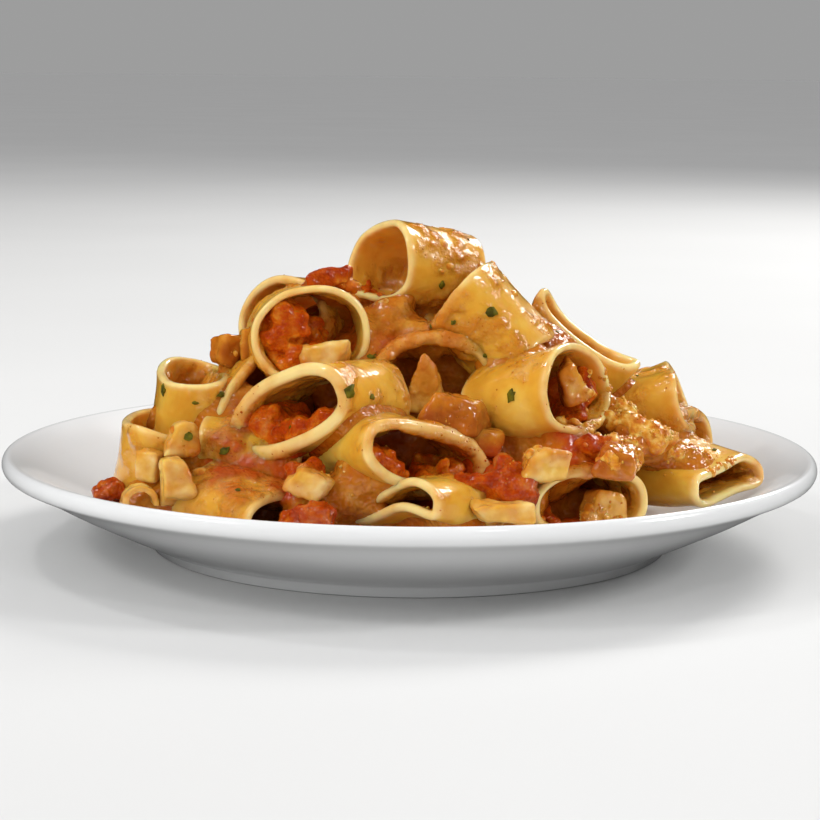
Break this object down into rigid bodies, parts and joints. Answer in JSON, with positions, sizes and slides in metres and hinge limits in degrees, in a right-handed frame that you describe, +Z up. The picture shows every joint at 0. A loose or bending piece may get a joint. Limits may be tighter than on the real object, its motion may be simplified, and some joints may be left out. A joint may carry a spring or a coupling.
{
  "type": "plate of pasta",
  "caption": "Wide short pasta tubes heaped in tomato sauce with diced seafood and chopped herb, served on a round white plate with a rolled rim.",
  "frame": {"origin": "centre of the plate's foot ring, on the surface it stands on", "axes": "+Z up, -Y towards the viewer of the picture, +X to that viewer's right"},
  "size_m": [0.2496, 0.25, 0.1009],
  "materials": {
    "porcelain": "glazed white porcelain",
    "pasta": "wet cooked pasta with an orange tomato sauce film",
    "seafood": "wet, pale and slightly translucent",
    "tomato": "wet red tomato flesh"
  },
  "bodies": {
    "root": {"plate": "porcelain", "paccheri_heap": "pasta", "chunk_01": "seafood", "chunk_02": "seafood", "chunk_03": "seafood", "chunk_04": "seafood", "chunk_05": "seafood", "chunk_06": "seafood", "chunk_07": "seafood", "chunk_08": "seafood", "chunk_09": "seafood", "chunk_10": "seafood", "chunk_11": "seafood", "chunk_12": "seafood", "chunk_13": "seafood", "chunk_14": "seafood", "chunk_15": "seafood", "curl": "seafood", "tomato_01": "tomato", "tomato_02": "tomato", "tomato_03": "tomato", "tomato_04": "tomato"}
  },
  "joints": []
}
